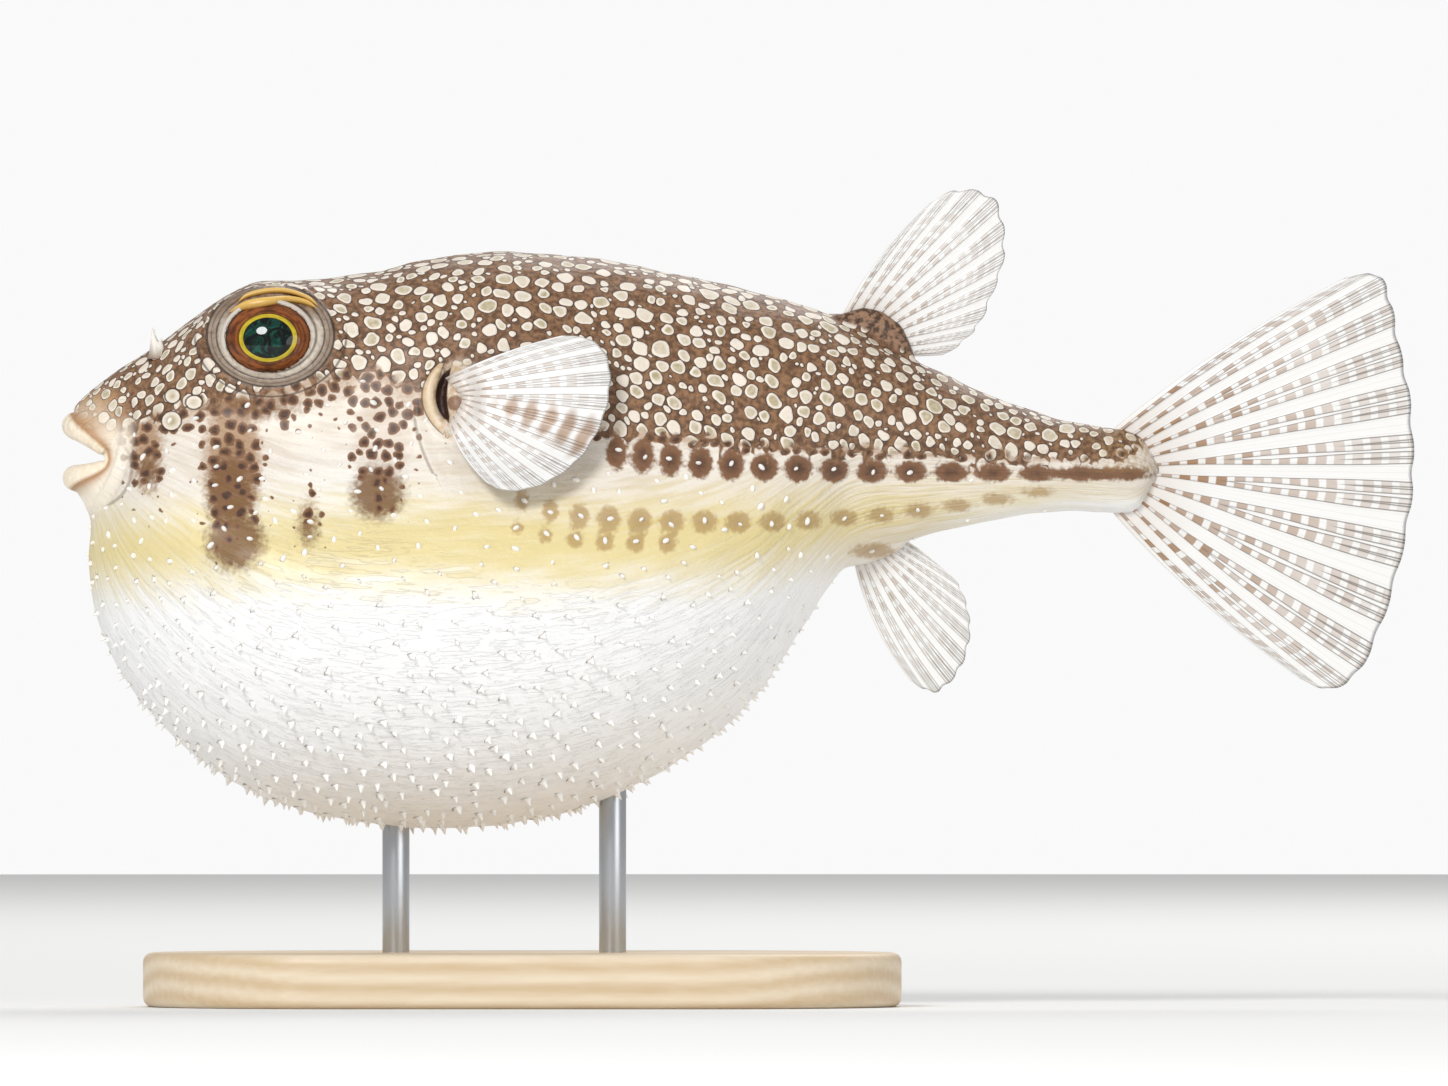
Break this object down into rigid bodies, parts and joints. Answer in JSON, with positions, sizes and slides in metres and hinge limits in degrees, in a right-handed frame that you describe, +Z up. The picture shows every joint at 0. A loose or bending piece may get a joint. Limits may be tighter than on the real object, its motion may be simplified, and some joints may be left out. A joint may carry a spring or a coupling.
{
  "type": "pufferfish",
  "caption": "Blown-up spotted pufferfish, life size, with fan-shaped fins, open beak-like mouth and a prickly pale belly, held on rods above a flat display base.",
  "frame": {"origin": "on the floor, under the middle of the whole model's box", "axes": "+Z up, the tail towards +X and the nose towards -X, the fish's left side towards -Y"},
  "size_m": [0.1498, 0.0538, 0.0906],
  "materials": {
    "spotted_back": "moist skin: brown net round pale oval spots above, white cheek and flank with dark blotches",
    "pale_belly": "stretched white skin, straw yellow at its top, with fine wrinkles and small prickles",
    "lip": "smooth moist peach lips",
    "tooth": "smooth ivory beak",
    "eye": "wet eye, blue-green pupil, yellow rim, chestnut iris",
    "fin": "thin pale skin over rays with rows of small brown bars",
    "base_wood": "satin maple",
    "rod_steel": "satin"
  },
  "bodies": {
    "root": {"head": "spotted_back", "trunk": "spotted_back", "tail_stem": "spotted_back", "belly": "pale_belly", "upper_lip": "lip", "lower_lip": "lip", "upper_teeth": "tooth", "lower_teeth": "tooth", "nostril_left": "spotted_back", "nostril_right": "spotted_back", "eye_left": "eye", "eye_right": "eye", "dorsal_fin": "fin", "anal_fin": "fin", "tail_fin": "fin", "pectoral_fin_left": "fin", "pectoral_fin_right": "fin", "stand_base": "base_wood", "stand_rod_front": "rod_steel", "stand_rod_rear": "rod_steel"}
  },
  "joints": []
}
